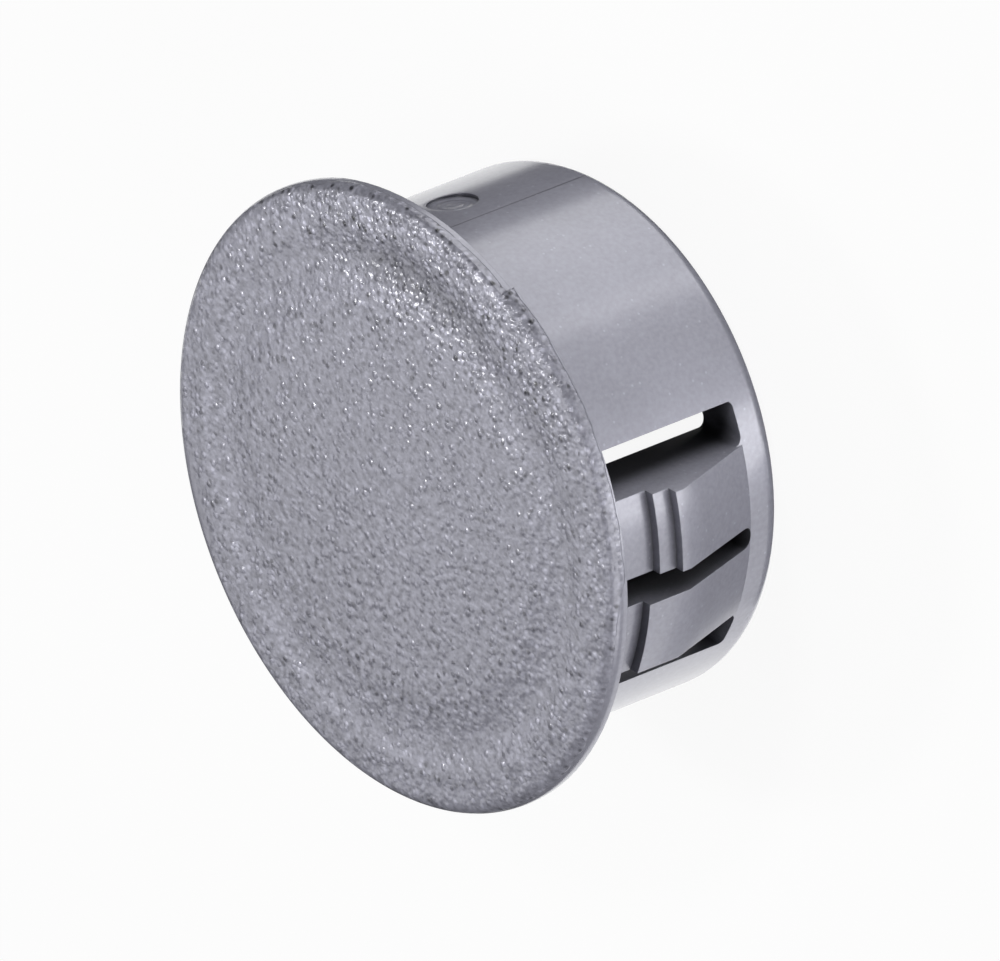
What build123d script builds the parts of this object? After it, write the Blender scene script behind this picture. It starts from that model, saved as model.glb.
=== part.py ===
from build123d import *
import os
from math import cos, radians, sin

# A snap-in hole plug, moulded in one shot of nylon: a low-domed head on a hollow barrel
# that is open at its far end. Each side of the barrel has a window with two locking fingers
# in it. The fingers spring from the ring at the open end and point back at the head, and
# the panel is caught between the head and one of the steps on their backs.
#
# Frame: the origin is the centre of the seat, the flat underside of the head. +Z goes out
# through the head, so the open end is down. +X is the way the side cores were pulled, out
# through the middle of each window. Angles are turned from +X towards +Y.

os.makedirs("parts", exist_ok=True)

# ---- the panel hole, and what follows from it (mm) ----
hole_d = 22.2  # round hole that the plug closes, 7/8 in
hole_play = 0.15  # radial play of the barrel in the hole
lip = 2.0  # how far the head laps over the panel

barrel_r = hole_d / 2 - hole_play
head_r = hole_d / 2 + lip

# ---- barrel ----
depth = 10.14  # seat to open end
wall = 2.0
lead_in_r = 0.85  # rounding that starts the barrel into the hole
mouth_break = 0.25  # bevel inside the open end
ceiling_break = 0.4  # bevel of the inside corner under the head

bore_r = barrel_r - wall

# ---- head ----
crown_h = 0.95  # middle of the face above the seat
dome_drop = 0.1  # fall of the low dome from its middle to the start of the sink
sink_inset = 0.7  # the sink ring starts this far inside the bore
sink_outset = 0.15  # its bottom lies this far outside the middle of the barrel's wall
sink_depth = 0.13  # below the shoulder: the thick wall drew the face in as it cooled
sink_round = 5.0
shoulder_drop = 0.05  # from the dome's rim to the shoulder outside the sink
shoulder_round = 3.0
margin_w = 1.75  # sloping margin from the shoulder to the edge
margin_drop = 0.09
edge_r = 0.55  # rounding of the edge

dome_r = bore_r - sink_inset
dome_h = crown_h - dome_drop
sink_r = (bore_r + barrel_r) / 2 + sink_outset
shoulder_r = head_r - margin_w
shoulder_h = dome_h - shoulder_drop
sink_h = shoulder_h - sink_depth
edge_h = shoulder_h - margin_drop

# ---- trimmed stretch of the head's edge, where the flash was cut a little deep ----
trim_start = 63.5  # degrees: it starts with a step
trim_end = 112.0  # degrees: where it has run out
trim_depth = 0.2  # at the step
trim_middle_depth = 0.12  # halfway along
trim_runout = 0.02  # how far outside the edge the cut ends

# ---- windows ----
window_w = 10.84
end_ring = 1.72  # plain ring between a window and the open end
corner_r = 0.22  # lower corners of a window

window_end = depth - end_ring

# ---- locking fingers, two in each window ----
middle_slot = 0.93  # between the two
finger_w = 3.3
free_gap = 0.5  # from a finger's free end to the seat
root_r = 0.4  # where a finger's side meets the ring
tip_r = 0.2  # corners of the free end
crest_rise = 1.24  # how far a finger's crest stands out of the barrel
crest_end = 4.17  # below the seat: the crest ends here, and the ramp to the ring starts
step_rise = 0.41
first_grip = 1.18  # seat to the shallowest step, for the thinnest panel
grip_pitch = 0.85  # from one grip to the next, on whichever finger

finger_l = window_end - free_gap
crest_r = barrel_r + crest_rise
thin_grips = [first_grip, first_grip + grip_pitch]
thick_grips = [first_grip + 2 * grip_pitch, first_grip + 3 * grip_pitch]

# ---- gate mark on the barrel, where the runner broke away ----
gate_d = 2.1
gate_depth = 0.14
gate_angle = 103.5  # degrees
gate_below_seat = 4.25

near = 0.001  # how close to a height an edge or corner lies when it is picked by that height


def back_section(grips):
    """Section of a finger's raised back, with a step facing the head at each grip."""
    inside = barrel_r - wall / 2
    points = [(inside, -window_end), (barrel_r, -window_end), (crest_r, -crest_end)]
    radius = crest_r
    for grip in sorted(grips, reverse=True):
        points += [(radius, -grip), (radius - step_rise, -grip)]
        radius -= step_rise
    return points + [(radius, -free_gap), (inside, -free_gap)]


def polar(radius, degrees):
    return radius * cos(radians(degrees)), radius * sin(radians(degrees))


def finger_backs(grips, side):
    """Raised backs of the fingers with these grips, one in each window. The section is turned
    into a full ring and cut down to one finger's width on one side of each window's middle."""
    with BuildPart() as backs:
        with BuildSketch(Plane.XZ):
            with BuildLine():
                Polyline(*back_section(grips), close=True)
            make_face()
        revolve(axis=Axis.Z)
        with BuildSketch(Plane.XY):
            with PolarLocations(crest_r / 2, 2):
                Rectangle(crest_r, middle_slot / 2 + finger_w, align=(Align.CENTER, side))
        extrude(amount=-depth, mode=Mode.INTERSECT)
    return backs.part


thick_grip_backs = finger_backs(thick_grips, Align.MIN)
thin_grip_backs = finger_backs(thin_grips, Align.MAX)

with BuildPart() as hole_plug:
    # Head and hollow barrel, turned from one section.
    with BuildSketch(Plane.XZ) as section:
        with BuildLine():
            dome = TangentArc((0, crown_h), (dome_r, dome_h), tangent=(1, 0))
            Polyline(
                dome @ 1,
                (sink_r, sink_h),
                (shoulder_r, shoulder_h),
                (head_r, edge_h),
                (head_r, 0),
                (barrel_r, 0),
                (barrel_r, -depth),
                (bore_r, -depth),
                (bore_r, 0),
                (0, 0),
                dome @ 0,
            )
        make_face()
        for corner, rounding in (
            ((sink_r, sink_h), sink_round),
            ((shoulder_r, shoulder_h), shoulder_round),
            ((head_r, edge_h), edge_r),
        ):
            fillet(section.vertices().sort_by_distance(corner)[0], rounding)
    revolve(axis=Axis.Z)
    mouth = hole_plug.edges().group_by(Axis.Z)[0].sort_by(SortBy.LENGTH)
    fillet(mouth[-1], lead_in_r)
    chamfer(mouth[0], mouth_break)
    seat_edges = hole_plug.edges().filter_by_position(Axis.Z, -near, near)
    chamfer(seat_edges.sort_by(SortBy.LENGTH)[0], ceiling_break)

    add([thick_grip_backs, thin_grip_backs])

    # The slots that free the fingers: a window less its two fingers, cut through both sides.
    with BuildSketch(Plane.YZ) as slots:
        Rectangle(window_w, window_end, align=(Align.CENTER, Align.MAX))
        with Locations(*[(way * (middle_slot + finger_w) / 2, -free_gap) for way in (-1, 1)]):
            Rectangle(finger_w, finger_l, align=(Align.CENTER, Align.MAX), mode=Mode.SUBTRACT)
        fillet(slots.vertices().group_by(Axis.Y)[0].sort_by(Axis.X)[1:-1], root_r)
        fillet(slots.vertices().group_by(Axis.Y)[0].sort_by(Axis.X)[0], corner_r)
        fillet(slots.vertices().group_by(Axis.Y)[0].sort_by(Axis.X)[-1], corner_r)
        tips = slots.vertices().filter_by_position(Axis.Y, -free_gap - near, -free_gap + near)
        fillet(tips, tip_r)
    extrude(amount=head_r, both=True, mode=Mode.SUBTRACT)

    # The trimmed stretch of the edge: full depth at the step, and fading out past it.
    with BuildSketch(Plane.XY):
        with BuildLine():
            middle = (trim_start + trim_end) / 2
            trimmed = ThreePointArc(
                polar(head_r - trim_depth, trim_start),
                polar(head_r - trim_middle_depth, middle),
                polar(head_r + trim_runout, trim_end),
            )
            clear = head_r + lip
            Polyline(
                trimmed @ 1,
                polar(clear, trim_end),
                polar(clear, middle),
                polar(clear, trim_start),
                trimmed @ 0,
            )
        make_face()
    extrude(amount=crown_h, mode=Mode.SUBTRACT)

    # Gate mark: a shallow round flat.
    gate_plane = Plane(
        origin=(*polar(barrel_r, gate_angle), -gate_below_seat),
        z_dir=(*polar(1, gate_angle), 0),
    )
    with BuildSketch(gate_plane):
        Circle(gate_d / 2)
    extrude(amount=-gate_depth, mode=Mode.SUBTRACT)

hole_plug.part.label = "hole_plug"
export_step(hole_plug.part, "parts/hole_plug.step")
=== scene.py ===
"""Snap-in hole plug of grey moulded nylon, standing on its open end."""

from math import cos, pi, radians, sin, tan

import bpy
import numpy as np
from bpy.props import FloatProperty, FloatVectorProperty, IntProperty, PointerProperty
from mathutils import Matrix, Vector


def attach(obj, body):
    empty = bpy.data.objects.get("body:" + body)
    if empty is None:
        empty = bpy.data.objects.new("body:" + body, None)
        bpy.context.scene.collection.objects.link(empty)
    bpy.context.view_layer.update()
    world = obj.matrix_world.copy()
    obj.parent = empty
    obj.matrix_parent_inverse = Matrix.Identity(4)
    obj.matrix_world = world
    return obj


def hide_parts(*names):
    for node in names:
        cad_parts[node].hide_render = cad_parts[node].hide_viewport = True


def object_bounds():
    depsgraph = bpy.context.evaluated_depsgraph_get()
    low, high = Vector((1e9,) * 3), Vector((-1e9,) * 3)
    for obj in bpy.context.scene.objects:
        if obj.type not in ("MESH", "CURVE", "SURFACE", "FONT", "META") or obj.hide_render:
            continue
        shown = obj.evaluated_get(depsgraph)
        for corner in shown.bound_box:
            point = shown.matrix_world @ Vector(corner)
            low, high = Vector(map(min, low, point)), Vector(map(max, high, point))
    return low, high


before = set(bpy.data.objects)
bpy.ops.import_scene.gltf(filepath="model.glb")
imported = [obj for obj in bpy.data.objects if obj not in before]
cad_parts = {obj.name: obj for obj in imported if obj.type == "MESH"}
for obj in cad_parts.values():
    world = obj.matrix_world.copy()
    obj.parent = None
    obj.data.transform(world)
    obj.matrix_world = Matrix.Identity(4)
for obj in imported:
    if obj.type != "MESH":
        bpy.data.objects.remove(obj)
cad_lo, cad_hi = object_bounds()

bl_info = {
    "name": "Hole plug",
    "version": (1, 0, 0),
    "blender": (4, 5, 0),
    "location": "3D View > Sidebar > Hole plug",
    "description": "Dresses a snap-in hole plug: grained head, semi-gloss barrel, plain stage",
    "category": "Object",
}

MM = 0.001
BODY = "root"
NODE = "hole_plug"

# Heights are from the seat, and angles are in degrees about the plug's axis, from +X.
BARREL_RADIUS = 10.95 * MM
GATE_ANGLE, GATE_RADIUS, GATE_HEIGHT = 103.5, 10.85 * MM, -4.25 * MM
SINK_RADIUS = 10.1 * MM
TRIM_START, TRIM_END = 63.5, 112.0


# ---------------------------------------------------------------- settings


class HeadSettings(bpy.types.PropertyGroup):
    """Shape of the head's face. The seat is at height zero."""

    radius: FloatProperty(
        name="Radius",
        description="Radius of the head",
        default=cad_hi.x,
        subtype="DISTANCE",
    )
    crown: FloatProperty(
        name="Crown",
        description="Height of the face's middle",
        default=cad_hi.z,
        subtype="DISTANCE",
    )
    dome_radius: FloatProperty(
        name="Dome radius",
        description="Radius at which the low dome ends",
        default=8.25 * MM,
        subtype="DISTANCE",
    )
    dome_height: FloatProperty(
        name="Dome height",
        description="Height there",
        default=0.85 * MM,
        subtype="DISTANCE",
    )
    sink_radius: FloatProperty(
        name="Sink radius",
        description="Radius of the sink ring over the barrel's wall",
        default=SINK_RADIUS,
        subtype="DISTANCE",
    )
    sink_height: FloatProperty(
        name="Sink height",
        description="Height there",
        default=0.67 * MM,
        subtype="DISTANCE",
    )
    shoulder_radius: FloatProperty(
        name="Shoulder radius",
        description="Radius of the shoulder outside the sink",
        default=11.35 * MM,
        subtype="DISTANCE",
    )
    shoulder_height: FloatProperty(
        name="Shoulder height",
        description="Height there",
        default=0.8 * MM,
        subtype="DISTANCE",
    )
    edge_height: FloatProperty(
        name="Edge height",
        description="Height of the face at the edge, before that is rounded",
        default=0.71 * MM,
        subtype="DISTANCE",
    )
    edge_rounding: FloatProperty(
        name="Edge rounding",
        description="Radius of the edge",
        default=0.55 * MM,
        subtype="DISTANCE",
    )
    cells: IntProperty(
        name="Cells",
        description="Cells across the head's fine mesh",
        default=276,
        min=8,
    )


class FinishSettings(bpy.types.PropertyGroup):
    """Colour and surface of the nylon."""

    colour: FloatVectorProperty(
        name="Colour",
        description="Colour of the nylon",
        subtype="COLOR",
        size=3,
        default=(0.325, 0.325, 0.386),
        min=0,
        max=1,
    )
    relief: FloatProperty(
        name="Relief",
        description="Depth of the grain's relief",
        default=0.014 * MM,
        subtype="DISTANCE",
    )
    roughness: FloatProperty(
        name="Roughness",
        description="Roughness of the barrel",
        default=0.38,
        min=0,
        max=1,
    )
    skin_roughness: FloatProperty(
        name="Skin roughness",
        description="Roughness of the moulding's glossy skin",
        default=0.18,
        min=0,
        max=1,
    )
    metal: FloatProperty(
        name="Metal",
        description="How far the flake makes the nylon shine like metal",
        default=0.3,
        min=0,
        max=1,
    )


# ---------------------------------------------------------------- small tools


def deselect_all():
    if bpy.context.mode != "OBJECT":
        bpy.ops.object.mode_set(mode="OBJECT")
    bpy.ops.object.select_all(action="DESELECT")


def make_active(piece):
    deselect_all()
    piece.select_set(True)
    bpy.context.view_layer.objects.active = piece


def select_faces(piece, chosen):
    """Selects the faces for which chosen(face) is true, and goes into edit mode."""
    make_active(piece)
    bpy.ops.object.mode_set(mode="EDIT")
    bpy.ops.mesh.select_mode(type="FACE")
    bpy.ops.mesh.select_all(action="DESELECT")
    bpy.ops.object.mode_set(mode="OBJECT")
    for face in piece.data.polygons:
        face.select = chosen(face)
    bpy.ops.object.mode_set(mode="EDIT")


def rounded_line(corners, steps=13):
    """Points along a line whose corners are (x, y, rounding)."""
    points = [np.array(corners[0][:2])]
    for before, corner, after in zip(corners, corners[1:], corners[2:]):
        here, rounding = np.array(corner[:2]), corner[2]
        back = np.array(before[:2]) - here
        on = np.array(after[:2]) - here
        back, on = back / np.linalg.norm(back), on / np.linalg.norm(on)
        turn = pi - np.arccos(np.clip(back @ on, -1, 1))
        if rounding == 0 or turn < 1e-6:
            points.append(here)
            continue
        reach = rounding * tan(turn / 2)
        inward = (back + on) / np.linalg.norm(back + on)
        centre = here + inward * rounding / cos(turn / 2)
        start, end = here + back * reach - centre, here + on * reach - centre
        for step in np.linspace(0, 1, steps):
            spoke = start * sin((1 - step) * turn) + end * sin(step * turn)
            points.append(centre + spoke / sin(turn))
    points.append(np.array(corners[-1][:2]))
    return np.array(points)


def trimmed_radius(angle, full):
    """The edge's radius at an angle: it was trimmed a little deep along one stretch, most
    where that starts."""
    along = (np.degrees(angle) % 360 - TRIM_START) / (TRIM_END - TRIM_START)
    cut = (0.2 - 0.1 * along - 0.12 * along**2) * MM
    return np.where((along >= 0) & (along <= 1), np.minimum(full, full - cut), full)


SWELLS = (
    # Where the face drew in unevenly: middle and spread (degrees), radius, width, rise (mm)
    (86, 26, 10.6, 0.7, -0.05),
    (50, 13, 10.5, 0.6, 0.06),
    (130, 20, 8.8, 0.7, -0.02),
    (216, 60, 10.1, 1.0, 0.05),
    (258, 34, 10.75, 0.25, -0.015),
)


def around(angle, middle, spread):
    """One where the angle is the middle, falling off to both sides of it."""
    away = (np.degrees(angle) - middle + 180) % 360 - 180
    return np.exp(-((away / spread) ** 2))


# ---------------------------------------------------------------- the plug


class PLUG_OT_body(bpy.types.Operator):
    """Takes the barrel, fingers and seat from the solid, and leaves the head's face off"""

    bl_idname = "plug.body"
    bl_label = "Barrel and fingers"

    def execute(self, context):
        deselect_all()
        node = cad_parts[NODE]
        plug = node.copy()
        plug.data = node.data.copy()
        plug.name = plug.data.name = "plug"
        plug.parent = None
        for key in list(plug.keys()):
            del plug[key]
        context.scene.collection.objects.link(plug)
        make_active(plug)
        bpy.ops.object.mode_set(mode="EDIT")
        bpy.ops.mesh.select_all(action="SELECT")
        bpy.ops.mesh.remove_doubles(threshold=1e-7)
        bpy.ops.mesh.customdata_custom_splitnormals_clear()
        select_faces(plug, lambda face: face.center.z > 1e-6)
        bpy.ops.mesh.delete(type="FACE")
        bpy.ops.object.mode_set(mode="OBJECT")
        return {"FINISHED"}


class PLUG_OT_head(bpy.types.Operator):
    """Makes the head's face as a fine round mesh, and joins it to the body"""

    bl_idname = "plug.head"
    bl_label = "Head"

    dome_points = 24
    dome_blend, sink_blend, shoulder_blend = 6 * MM, 5 * MM, 3 * MM
    edge_foot = 0.04 * MM

    def execute(self, context):
        head = context.scene.plug_head
        plug = bpy.data.objects["plug"]
        deselect_all()
        bpy.ops.mesh.primitive_grid_add(
            x_subdivisions=head.cells, y_subdivisions=head.cells, size=2
        )
        face = context.active_object
        face.name = face.data.name = "plug_face"
        co = np.zeros(len(face.data.vertices) * 3)
        face.data.vertices.foreach_get("co", co)
        co = self.on_the_head(head, *co.reshape(-1, 3)[:, :2].T)
        face.data.vertices.foreach_set("co", co.ravel())
        face.data.update()

        make_active(plug)
        face.select_set(True)
        bpy.ops.object.join()
        bpy.ops.object.mode_set(mode="EDIT")
        bpy.ops.mesh.select_mode(type="EDGE")
        bpy.ops.mesh.select_all(action="DESELECT")
        bpy.ops.mesh.select_non_manifold()
        bpy.ops.mesh.bridge_edge_loops()
        bpy.ops.mesh.select_all(action="SELECT")
        bpy.ops.mesh.normals_make_consistent(inside=False)
        bpy.ops.object.mode_set(mode="OBJECT")
        return {"FINISHED"}

    def outline(self, head):
        """The face's outline, as radius and height, from its middle down to its rolled edge."""
        slope = (head.crown - head.dome_height) / head.dome_radius**2
        radii = np.linspace(0, head.dome_radius, self.dome_points)
        arc = [(radius, head.crown - slope * radius * radius, 0) for radius in radii]
        arc[-1] = (*arc[-1][:2], self.dome_blend)
        beyond = [
            (head.sink_radius, head.sink_height, self.sink_blend),
            (head.shoulder_radius, head.shoulder_height, self.shoulder_blend),
            (head.radius, head.edge_height, head.edge_rounding),
            (head.radius, self.edge_foot, 0),
        ]
        return rounded_line(arc + beyond)

    def on_the_head(self, head, u, v):
        """Lays a square of points, each side from -1 to 1, round the axis and onto the face."""
        line = self.outline(head)
        lengths = np.linalg.norm(np.diff(line, axis=0), axis=1)
        along = np.concatenate([[0], np.cumsum(lengths)])
        reach = np.maximum(np.abs(u), np.abs(v))
        safe = np.where(reach == 0, 1, reach)
        angle = np.where(
            np.abs(u) >= np.abs(v),
            pi / 4 * v / safe * np.sign(u) + np.where(u < 0, pi, 0),
            pi / 2 * np.sign(v) - pi / 4 * u / safe * np.sign(v),
        )
        radius = np.interp(reach * along[-1], along, line[:, 0])
        height = np.interp(reach * along[-1], along, line[:, 1])
        for middle, spread, at, width, rise in SWELLS:
            ring = np.exp(-(((radius - at * MM) / (width * MM)) ** 2))
            height = height + rise * MM * ring * around(angle, middle, spread)
        radius = np.minimum(radius, trimmed_radius(angle, head.radius))
        return np.stack([radius * np.cos(angle), radius * np.sin(angle), height], axis=1)


class PLUG_OT_grain(bpy.types.Operator):
    """Raises the head's grain, fades it out at the edge, and marks the plug's creases"""

    bl_idname = "plug.grain"
    bl_label = "Grain"

    lowest = 0.3 * MM
    bare_rim, fade_width = 0.75 * MM, 0.7 * MM
    # Each layer's name, size and share of the relief
    layers = (("waves", 1.3 * MM, 0.8), ("grain", 0.42 * MM, 1.0))

    def execute(self, context):
        head, finish = context.scene.plug_head, context.scene.plug_finish
        plug = bpy.data.objects["plug"]
        make_active(plug)
        self.raise_grain(plug, head, finish)
        bpy.ops.object.shade_smooth_by_angle(angle=radians(32))
        self.crease_feet(plug)
        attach(plug, BODY)
        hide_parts(NODE)
        return {"FINISHED"}

    def raise_grain(self, plug, head, finish):
        group = plug.vertex_groups.new(name="grained")
        for vertex in plug.data.vertices:
            if vertex.co.z > self.lowest:
                inside = head.radius - self.bare_rim - vertex.co.xy.length
                if inside > 0:
                    group.add([vertex.index], min(1, inside / self.fade_width), "REPLACE")
        for name, size, share in self.layers:
            texture = bpy.data.textures.new(name, type="CLOUDS")
            texture.noise_scale = size
            texture.noise_depth = 1
            relief = plug.modifiers.new(name, "DISPLACE")
            relief.texture = texture
            relief.texture_coords = "LOCAL"
            relief.direction = "Z"
            relief.mid_level = 0.5
            relief.strength = finish.relief * share
            relief.vertex_group = group.name
            bpy.ops.object.modifier_apply(modifier=name)
            bpy.data.textures.remove(texture)

    def crease_feet(self, plug):
        """Keeps the crease sharp where each finger's back leaves the end ring."""
        bpy.ops.object.mode_set(mode="EDIT")
        bpy.ops.mesh.select_mode(type="EDGE")
        bpy.ops.mesh.select_all(action="DESELECT")
        bpy.ops.mesh.edges_select_sharp(sharpness=radians(9))
        bpy.ops.object.mode_set(mode="OBJECT")
        level_within, wall_within = 0.01 * MM, 0.06 * MM
        mouth, window_side = -9.7 * MM, 8 * MM
        for edge in plug.data.edges:
            ends = [plug.data.vertices[index].co for index in edge.vertices]
            edge.select = (
                edge.select
                and abs(ends[0].z - ends[1].z) < level_within
                and ends[0].z > mouth
                and all(abs(end.xy.length - BARREL_RADIUS) < wall_within for end in ends)
                and abs(ends[0].x) > window_side
            )
        bpy.ops.object.mode_set(mode="EDIT")
        bpy.ops.mesh.mark_sharp()
        bpy.ops.object.mode_set(mode="OBJECT")


# ---------------------------------------------------------------- material


class Nodes:
    """A node tree and the few ways of adding to it that the materials need."""

    def __init__(self, tree):
        self.tree = tree

    def add(self, kind, settings=None, **inputs):
        """Adds a node. An input goes by its socket's name, or by _ and the socket's number."""
        node = self.tree.nodes.new(kind)
        for name, value in (settings or {}).items():
            setattr(node, name, value)
        for name, value in inputs.items():
            socket = node.inputs[int(name[1:]) if name[0] == "_" else name.replace("_", " ")]
            if hasattr(value, "is_output"):
                self.tree.links.new(value, socket)
            else:
                socket.default_value = value
        return node

    def math(self, operation, *values):
        inputs = {f"_{number}": value for number, value in enumerate(values)}
        return self.add("ShaderNodeMath", {"operation": operation}, **inputs).outputs[0]

    def times(self, *values):
        product = values[0]
        for value in values[1:]:
            product = self.math("MULTIPLY", product, value)
        return product

    def plus(self, *values):
        total = values[0]
        for value in values[1:]:
            total = self.math("ADD", total, value)
        return total

    def scaled(self, value, scale, offset):
        """The value times the scale, plus the offset."""
        return self.math("MULTIPLY_ADD", value, scale, offset)

    def away(self, value, middle):
        """How far the value is from the middle, to either side."""
        return self.math("ABSOLUTE", self.math("SUBTRACT", value, middle))

    def ramp(self, value, low, high, to_low=0.0, to_high=1.0):
        settings = {"interpolation_type": "SMOOTHSTEP"}
        inputs = {"_0": value, "_1": low, "_2": high, "_3": to_low, "_4": to_high}
        return self.add("ShaderNodeMapRange", settings, **inputs).outputs[0]

    def vector(self, operation, *values, output="Value"):
        inputs = {f"_{number}": value for number, value in enumerate(values)}
        node = self.add("ShaderNodeVectorMath", {"operation": operation}, **inputs)
        return node.outputs[output]

    def parts(self, value):
        return self.add("ShaderNodeSeparateXYZ", None, Vector=value).outputs

    def noise(self, point, scale, detail=2.0, rough=0.5):
        inputs = {"Vector": point, "Scale": scale, "Detail": detail, "Roughness": rough}
        return self.add("ShaderNodeTexNoise", None, **inputs).outputs["Fac"]

    def cells(self, point, scale):
        return self.add("ShaderNodeTexVoronoi", None, Vector=point, Scale=scale).outputs


class Place:
    """Where a point of the surface is."""

    def __init__(self, n):
        self.point = n.add("ShaderNodeTexCoord").outputs["Object"]
        self.x, self.y, self.z = n.parts(self.point)
        flat = n.vector("MULTIPLY", self.point, (1, 1, 0), output="Vector")
        self.radius = n.vector("LENGTH", flat)
        self.angle = n.times(n.math("ARCTAN2", self.y, self.x), 180 / pi)


class Grain:
    """Where the head is grained, and its beads.

    The grain is all over the face and down the edge's rounding, to the very edge along one
    stretch, and less near the edge on the far side.
    """

    beads_per_metre = 3700.0
    full_edge_start = 0
    far_way = (-0.94, -0.34, 0)
    coarse_way = (cos(radians(78)), sin(radians(78)), 0)

    def __init__(self, n, at):
        ragged = n.noise(at.point, 900, 1)
        self.to_edge = n.times(
            n.ramp(at.angle, self.full_edge_start, self.full_edge_start + 10),
            n.ramp(at.angle, TRIM_START + 0.5, TRIM_START - 0.5),
        )
        trimmed = n.times(
            n.ramp(at.angle, TRIM_START - 0.5, TRIM_START + 0.5),
            n.ramp(at.angle, TRIM_END + 4, TRIM_END - 8),
        )
        limit = n.scaled(self.to_edge, -0.4 * MM, 0.5 * MM)
        limit = n.scaled(trimmed, -0.22 * MM, limit)
        drop = n.math("SUBTRACT", n.scaled(ragged, 0.24 * MM, -0.12 * MM), limit)
        self.on_face = n.ramp(n.plus(at.z, drop), -0.03 * MM, 0.03 * MM)
        far = n.scaled(ragged, 1.4 * MM, n.vector("DOT_PRODUCT", at.point, self.far_way))
        self.mask = n.times(self.on_face, n.ramp(far, 13.3 * MM, 12.5 * MM))

        beads = n.cells(at.point, self.beads_per_metre)
        self.from_bead, self.tones = beads["Distance"], n.parts(beads["Color"])
        # Toward the coarse side the relief grows and the painted glints grow stronger.
        towards = n.vector("DOT_PRODUCT", at.point, self.coarse_way)
        self.deeper_grain_and_glint = n.ramp(towards, 6.5 * MM, 10.5 * MM)

    def height(self, n, at):
        """Beads of uneven height with grit between them, lower down the edge's rounding."""
        bead = n.ramp(self.from_bead, 0.75, 0.05)
        bead = n.times(bead, n.scaled(self.tones[0], 0.05 * MM, -0.01 * MM))
        grit = n.scaled(n.noise(at.point, 3300, 1.0), 0.05 * MM, bead)
        down_edge = n.ramp(at.z, 0.4 * MM, 0.7 * MM, 0.5, 1)
        share = n.times(self.mask, n.math("MAXIMUM", self.to_edge, down_edge))
        return n.times(grit, n.times(share, n.scaled(self.deeper_grain_and_glint, 0.8, 0.8)))

    def shade(self, n, at):
        """Lighter and darker patches of the grain, and on its beads painted glints and painted
        shade of pits, stronger toward the coarse side.
        """
        patch = n.scaled(n.noise(at.point, 3400, 2.0), 1.2, -0.6)
        # Painted glints on the bright beads and painted pit shade on the dark ones.
        light, dark = n.ramp(self.tones[2], 0.7, 0.9), n.ramp(self.tones[2], 0.3, 0.1)
        flake = n.math("SUBTRACT", light, dark)
        flake = n.times(flake, n.ramp(self.from_bead, 0.6, 0.2))
        flake = n.times(flake, n.scaled(self.deeper_grain_and_glint, 0.35, 0.42))
        return n.plus(patch, flake)


class PartingLine:
    """The parting line of the two side slides, a small step up both sides of the barrel, with
    painted shade along it.
    """

    way = (0.9986, 0.0523, 0)
    step = 0.012 * MM

    def __init__(self, n, at):
        self.across = n.vector("DOT_PRODUCT", at.point, self.way)
        mouth, in_wall = -9.8 * MM, 9.2 * MM
        between = n.times(n.ramp(at.z, 0, -0.01 * MM), n.ramp(at.z, mouth, mouth + 0.2 * MM))
        outside = n.ramp(n.math("ABSOLUTE", at.y), in_wall, in_wall + 0.6 * MM)
        self.on_barrel = n.times(between, outside)

    def height(self, n):
        past = n.ramp(self.across, -0.035 * MM, 0.035 * MM)
        return n.times(past, self.on_barrel, self.step)

    def shade(self, n):
        # Painted shade: a dark line along the step, taken out of the colour and the coat.
        line = n.ramp(n.math("ABSOLUTE", self.across), 0.05 * MM, 0.015 * MM)
        return n.scaled(n.times(line, self.on_barrel), -0.45, 1.0)


def gate_rings(n, at):
    """Fine rings where the runner broke away."""
    a = radians(GATE_ANGLE)
    gate = (GATE_RADIUS * cos(a), GATE_RADIUS * sin(a), GATE_HEIGHT)
    away = n.vector("DISTANCE", at.point, gate)
    radians_per_metre = 16000
    waves = n.math("SINE", n.times(away, radians_per_metre))
    return n.times(waves, n.ramp(away, 1.3 * MM, 0.9 * MM))


def nylon_tone_and_painted_light(n, at, grain):
    """The nylon's tone: mottled, with the metal flake's glints painted in sparse bright specks,
    and painted shade in the drawn-in arc over the wall; on the face it adds the grain's
    patches, painted glints and painted pit shade."""
    # Painted glints of the metal flake: sparse bright specks in the colour.
    cells = n.cells(at.point, 2100.0)
    bright = n.math("GREATER_THAN", n.parts(cells["Color"])[0], 0.35)
    painted_flake_glint = n.times(n.ramp(cells["Distance"], 0.16, 0.05), bright)
    mottle = n.ramp(n.noise(at.point, 420, 3.0, 0.6), 0.3, 0.7)
    tone = n.plus(n.scaled(mottle, 0.05, 0.975), n.times(painted_flake_glint, 0.3))
    tone = n.plus(tone, n.scaled(n.noise(at.point, 5000, 1.0), 0.3, -0.15))
    # Painted shade: darker across the drawn-in arc over the wall, on the face.
    arc_middle = 84
    beside = n.ramp(n.away(at.angle, arc_middle), 34, 6)
    across = n.ramp(n.away(at.radius, SINK_RADIUS), 1.3 * MM, 0.2 * MM)
    painted_arc_shade = n.times(beside, across, grain.on_face)
    tone = n.times(tone, n.scaled(painted_arc_shade, -0.3, 1.0))
    return n.scaled(grain.shade(n, at), grain.mask, tone)


def painted_crevice_shade(n, at):
    """Painted shade for the colour and the coat: less than one in the crevices and inside the
    wall.
    """
    settings = {"samples": 8, "only_local": True}
    sky = n.add("ShaderNodeAmbientOcclusion", settings, Distance=2.5 * MM).outputs["AO"]
    # Painted shade inside the wall, darker towards the bore.
    painted_inside_shade = n.ramp(at.radius, 9.8 * MM, BARREL_RADIUS, 0.15, 1)
    on_head = n.ramp(at.z, -0.5 * MM, 0)
    return n.times(n.ramp(sky, 0.2, 0.9, 0.1, 1.0), n.math("MAXIMUM", painted_inside_shade, on_head))


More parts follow.
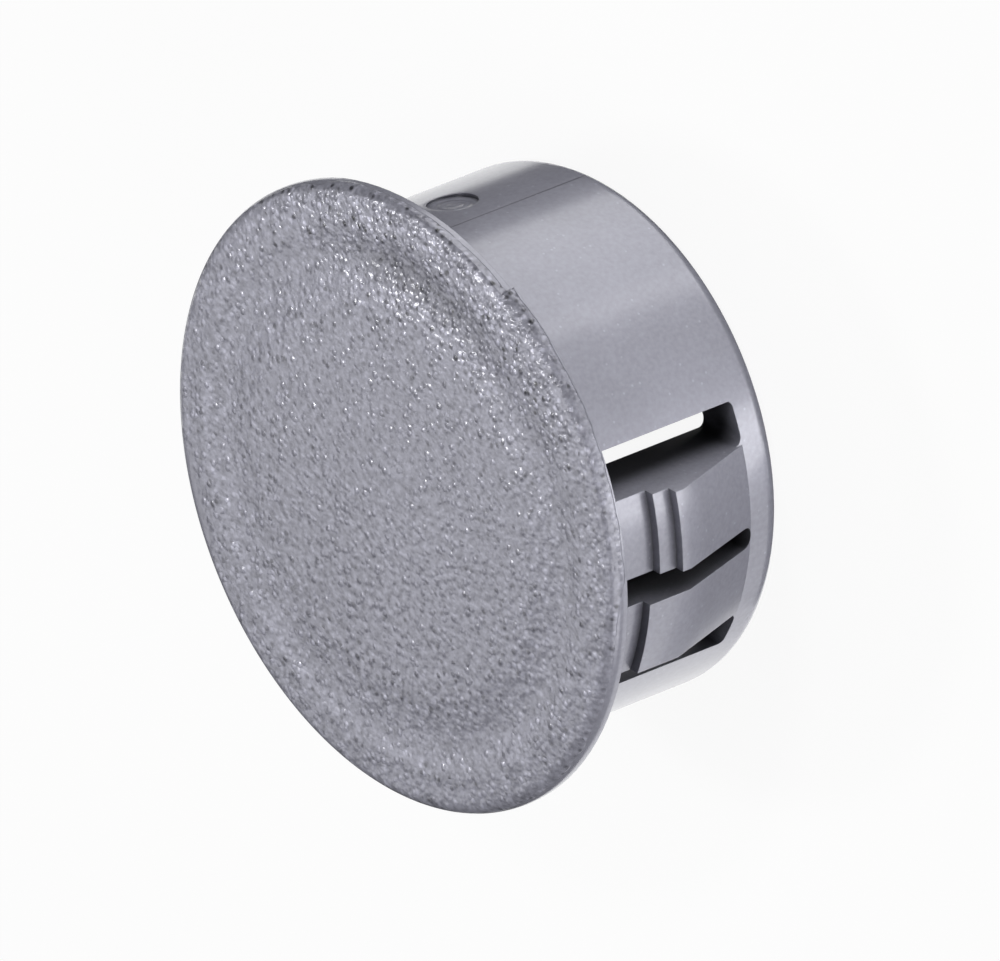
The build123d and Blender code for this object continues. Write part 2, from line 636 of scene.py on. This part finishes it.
class PLUG_OT_nylon(bpy.types.Operator):
    """Makes the nylon: grained on the head's face and semi-gloss elsewhere"""

    bl_idname = "plug.nylon"
    bl_label = "Nylon"

    def execute(self, context):
        finish = context.scene.plug_finish
        material = bpy.data.materials.new("nylon")
        material.use_nodes = True
        tree = material.node_tree
        tree.nodes.clear()
        n = Nodes(tree)
        at = Place(n)
        grain, parting = Grain(n, at), PartingLine(n, at)

        skin = n.times(n.noise(at.point, 2200, 2.0, 0.6), 0.002 * MM)
        marks = n.scaled(gate_rings(n, at), 0.012 * MM, parting.height(n))
        height = n.plus(grain.height(n, at), skin, marks)
        bevel = n.add("ShaderNodeBevel", {"samples": 4}, Radius=0.045 * MM).outputs[0]
        bump = n.add(
            "ShaderNodeBump", None, Height=height, Strength=1.0, Distance=1.0, Normal=bevel
        ).outputs[0]

        # Painted shade in the crevices, inside the wall and along the parting line, taken into
        # the colour and the coat's weight.
        painted_shade = n.times(painted_crevice_shade(n, at), parting.shade(n))
        tone = n.times(nylon_tone_and_painted_light(n, at, grain), painted_shade)
        tinted = n.add("ShaderNodeVectorMath", {"operation": "SCALE"}, _0=tuple(finish.colour))
        tree.links.new(tone, tinted.inputs["Scale"])

        shader = n.add(
            "ShaderNodeBsdfPrincipled",
            None,
            Base_Color=tinted.outputs[0],
            Metallic=finish.metal,
            Roughness=n.scaled(grain.mask, 0.1, finish.roughness),
            Normal=bump,
            Coat_Weight=n.times(painted_shade, n.scaled(grain.mask, -0.1, 0.9)),
            Coat_Roughness=finish.skin_roughness,
            Coat_Normal=bump,
        )
        n.add("ShaderNodeOutputMaterial", None, Surface=shader.outputs[0])

        plug = bpy.data.objects["plug"]
        plug.data.materials.clear()
        plug.data.materials.append(material)
        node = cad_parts[NODE]
        for socket in node.material_slots:
            socket.material = material
        return {"FINISHED"}


# ---------------------------------------------------------------- stage


LAMPS = (
    # name, azimuth and elevation it shines from (degrees), width and height (m), watts
    ("strip", 216, 42, 0.055, 0.15, 0.025),
    ("spark", 187, 54, 0.03, 0.03, 0.112),
    ("top", 36, 89, 0.14, 0.14, 0.12),
    ("edge", 78, 54, 0.03, 0.03, 0.07),
    ("side", 350, 17, 0.21, 0.14, 0.185),
    ("rim", 180, 22, 0.06, 0.11, 0.015),
    ("low rim", 204, -6, 0.04, 0.07, 0.009),
    ("low edge", 6, -30, 0.07, 0.19, 0.16),
    ("low front", 46, -30, 0.21, 0.19, 0.115),
    ("low left", 103, -30, 0.18, 0.19, 0.19),
    ("low right", 322, -36, 0.22, 0.06, 0.045),
    ("low back", 232, -42, 0.36, 0.09, 0.11),
)
LAMP_DISTANCE = 0.2

VIEW_AZIMUTH, VIEW_ELEVATION, VIEW_ROLL = 35.96, 36.55, 201.43
VIEW_WIDTH = 39.479 * MM
# What the camera looks at: from the seat's centre up the axis, then right and up in the view
AIM_HEIGHT, AIM_RIGHT, AIM_UP = 0.188 * MM, 3.8216 * MM, 0.6317 * MM

WHITE = (1, 1, 1, 1)
PAPER = (0.9, 0.9, 0.9, 1)


def direction(azimuth, elevation):
    a, e = radians(azimuth), radians(elevation)
    return Vector((cos(e) * cos(a), cos(e) * sin(a), sin(e)))


class PLUG_OT_stage(bpy.types.Operator):
    """Sets the floor, the lamps, the world and the camera"""

    bl_idname = "plug.stage"
    bl_label = "Stage"

    def execute(self, context):
        self.floor()
        self.world(context)
        for lamp in LAMPS:
            self.lamp(context, *lamp)
        self.camera(context)
        context.scene.view_settings.view_transform = "Standard"
        return {"FINISHED"}

    def floor(self):
        """A nearly white floor that looks clear from below and lets the low lamps through."""
        deselect_all()
        bpy.ops.mesh.primitive_plane_add(size=8, location=(0, 0, cad_lo.z))
        floor = bpy.context.active_object
        floor.name = floor.data.name = "floor"
        material = bpy.data.materials.new("floor")
        material.use_nodes = True
        material.node_tree.nodes.clear()
        n = Nodes(material.node_tree)
        paper = n.add("ShaderNodeBsdfDiffuse", None, Color=PAPER).outputs[0]
        white = n.add("ShaderNodeEmission", None, Color=WHITE, Strength=1.0).outputs[0]
        glow = n.times(n.add("ShaderNodeLightPath").outputs["Is Camera Ray"], 0.92)
        shade = n.add("ShaderNodeMixShader", None, _0=glow, _1=paper, _2=white).outputs[0]
        clear = n.add("ShaderNodeBsdfTransparent").outputs[0]
        under = n.add("ShaderNodeNewGeometry").outputs["Backfacing"]
        side = n.add("ShaderNodeMixShader", None, _0=under, _1=shade, _2=clear).outputs[0]
        n.add("ShaderNodeOutputMaterial", None, Surface=side)
        floor.data.materials.append(material)
        floor.visible_glossy = False
        floor.visible_shadow = False

    def world(self, context):
        """White to the camera and nearly dark to the plug."""
        world = bpy.data.worlds.new("studio")
        context.scene.world = world
        world.use_nodes = True
        world.node_tree.nodes.clear()
        n = Nodes(world.node_tree)
        seen = n.add("ShaderNodeLightPath").outputs["Is Camera Ray"]
        soft = n.add("ShaderNodeBackground", None, Color=WHITE, Strength=0.02).outputs[0]
        white = n.add("ShaderNodeBackground", None, Color=WHITE, Strength=1.0).outputs[0]
        mix = n.add("ShaderNodeMixShader", None, _0=seen, _1=soft, _2=white).outputs[0]
        n.add("ShaderNodeOutputWorld", None, Surface=mix)

    def lamp(self, context, name, azimuth, elevation, width, height, watts):
        back = direction(azimuth, elevation)
        bpy.ops.object.light_add(type="AREA", location=back * LAMP_DISTANCE)
        lamp = context.active_object
        lamp.name = lamp.data.name = name
        lamp.rotation_euler = back.to_track_quat("Z", "Y").to_euler()
        lamp.data.shape = "RECTANGLE"
        lamp.data.size, lamp.data.size_y = width, height
        lamp.data.energy = watts

    def camera(self, context):
        """The camera looks down on the head's face, rolled so that the face is turned down
        and to the left."""
        back = direction(VIEW_AZIMUTH, VIEW_ELEVATION)
        head_way = (Vector((0, 0, 1)) - back * back.z).normalized()
        side_way = back.cross(head_way)
        turn = radians(-VIEW_ROLL)
        right = head_way * cos(turn) + side_way * sin(turn)
        up = back.cross(right)
        aim = Vector((0, 0, AIM_HEIGHT)) + right * AIM_RIGHT + up * AIM_UP
        bpy.ops.object.camera_add()
        camera = context.active_object
        camera.data.lens = 1400
        camera.data.sensor_width = 36
        distance = VIEW_WIDTH * camera.data.lens / camera.data.sensor_width
        camera.data.clip_start, camera.data.clip_end = distance * 0.1, distance * 4
        place = Matrix((right, up, back)).transposed().to_4x4()
        place.translation = aim + back * distance
        camera.matrix_world = place
        context.scene.camera = camera


# ---------------------------------------------------------------- panel


class PLUG_PT_panel(bpy.types.Panel):
    """The plug's steps, in order"""

    bl_idname = "PLUG_PT_panel"
    bl_label = "Hole plug"
    bl_space_type = "VIEW_3D"
    bl_region_type = "UI"
    bl_category = "Hole plug"

    def draw(self, context):
        for step in STEPS:
            self.layout.operator(step.bl_idname)


STEPS = (PLUG_OT_body, PLUG_OT_head, PLUG_OT_grain, PLUG_OT_nylon, PLUG_OT_stage)
CLASSES = (HeadSettings, FinishSettings, *STEPS, PLUG_PT_panel)


def register():
    for item in CLASSES:
        bpy.utils.register_class(item)
    bpy.types.Scene.plug_head = PointerProperty(type=HeadSettings)
    bpy.types.Scene.plug_finish = PointerProperty(type=FinishSettings)


def unregister():
    del bpy.types.Scene.plug_finish
    del bpy.types.Scene.plug_head
    for item in reversed(CLASSES):
        bpy.utils.unregister_class(item)


def main():
    register()
    bpy.ops.plug.body()
    bpy.ops.plug.head()
    bpy.ops.plug.grain()
    bpy.ops.plug.nylon()
    bpy.ops.plug.stage()


if __name__ == "__main__":
    main()
